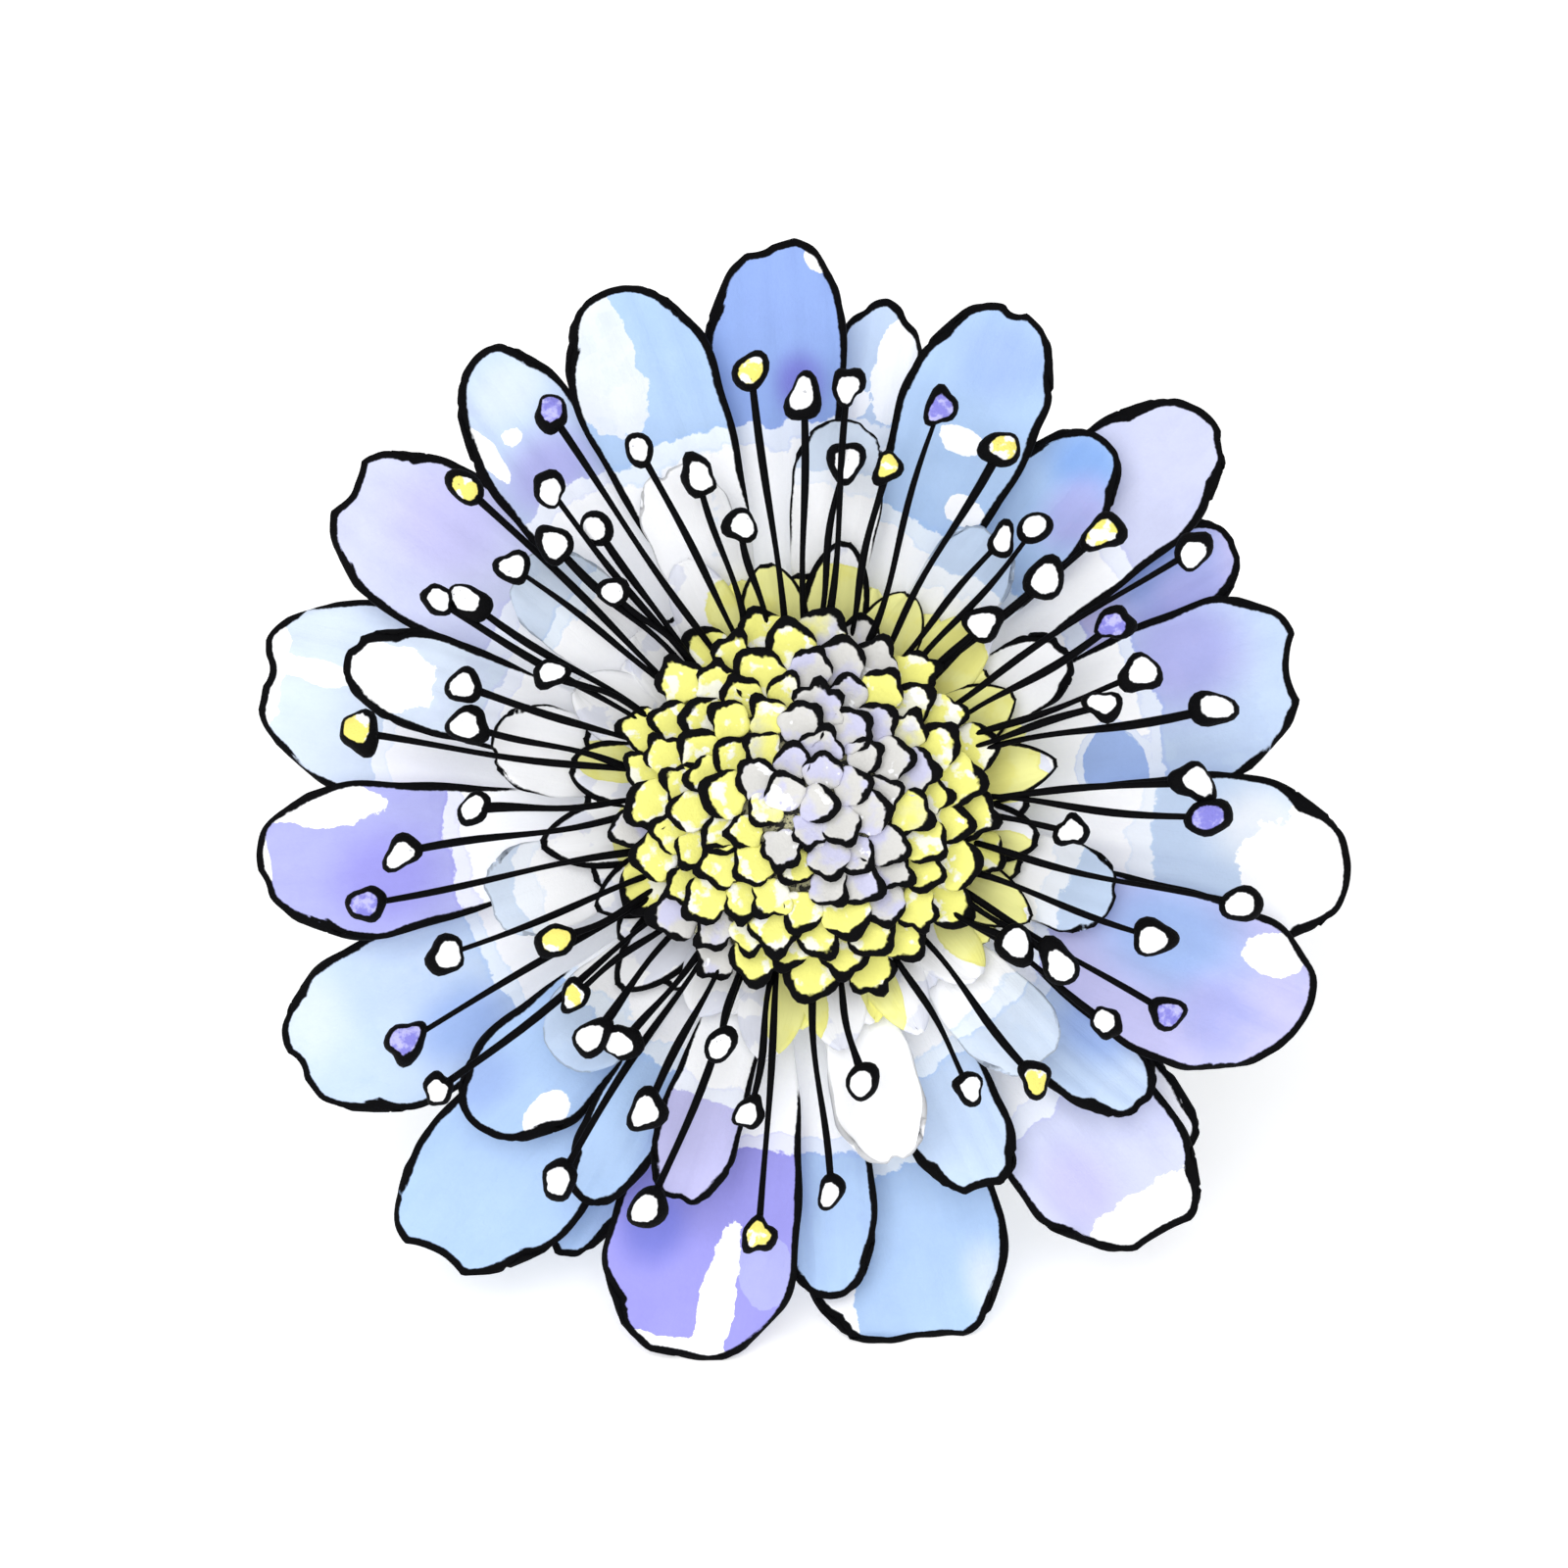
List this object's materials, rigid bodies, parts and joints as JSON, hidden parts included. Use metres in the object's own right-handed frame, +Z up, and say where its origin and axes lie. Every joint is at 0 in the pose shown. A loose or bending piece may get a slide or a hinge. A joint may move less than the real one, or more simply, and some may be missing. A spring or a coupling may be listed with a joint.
{
  "type": "pincushion flower",
  "caption": "Cut pincushion flower lying on its lower petals and stem end: domed floret cushion, radiating stamens, blue and lavender petals, short curved stem.",
  "frame": {"origin": "centre of the bounding box's base, on the surface the flower lies on", "axes": "+Z up; the flower's face looks towards -Y and up, and the stem runs towards +Y; +X to the right seen from the front"},
  "size_m": [0.0748, 0.085, 0.0643],
  "materials": {
    "petal_sky": "matt, thin and soft",
    "petal_periwinkle": "matt, thin and soft",
    "petal_lavender": "matt, thin and soft",
    "petal_purple": "matt, thin and soft",
    "petal_white": "matt, thin and soft",
    "florets": "matt, thin and soft",
    "collar": "matt, thin and soft",
    "bracts": "matt, finely haired",
    "stem": "matt, finely haired"
  },
  "bodies": {
    "root": {"collar_florets": "collar", "floret_head": "florets", "involucre": "bracts", "petal_back_1": "petal_periwinkle", "petal_back_2": "petal_white", "petal_back_3": "petal_sky", "petal_back_4": "petal_sky", "petal_back_5": "petal_sky", "petal_back_6": "petal_white", "petal_front_1": "petal_periwinkle", "petal_front_2": "petal_sky", "petal_front_3": "petal_sky", "petal_front_4": "petal_lavender", "petal_front_5": "petal_sky", "petal_inner_1": "petal_white", "petal_inner_10": "petal_white", "petal_inner_11": "petal_sky", "petal_inner_12": "petal_white", "petal_inner_2": "petal_white", "petal_inner_3": "petal_white", "petal_inner_4": "petal_white", "petal_inner_5": "petal_sky", "petal_inner_6": "petal_white", "petal_inner_7": "petal_white", "petal_inner_8": "petal_sky", "petal_inner_9": "petal_lavender", "petal_mid_1": "petal_white", "petal_mid_2": "petal_sky", "petal_mid_3": "petal_periwinkle", "petal_mid_4": "petal_lavender", "petal_mid_5": "petal_purple", "petal_mid_6": "petal_sky", "petal_mid_7": "petal_sky", "petal_mid_8": "petal_sky", "petal_rear_1": "petal_periwinkle", "petal_rear_2": "petal_lavender", "petal_rear_3": "petal_white", "petal_rear_4": "petal_lavender", "petal_rear_5": "petal_purple", "petal_rear_6": "petal_sky", "petal_rear_7": "petal_periwinkle", "petal_rear_8": "petal_lavender", "stem": "stem"}
  },
  "joints": []
}
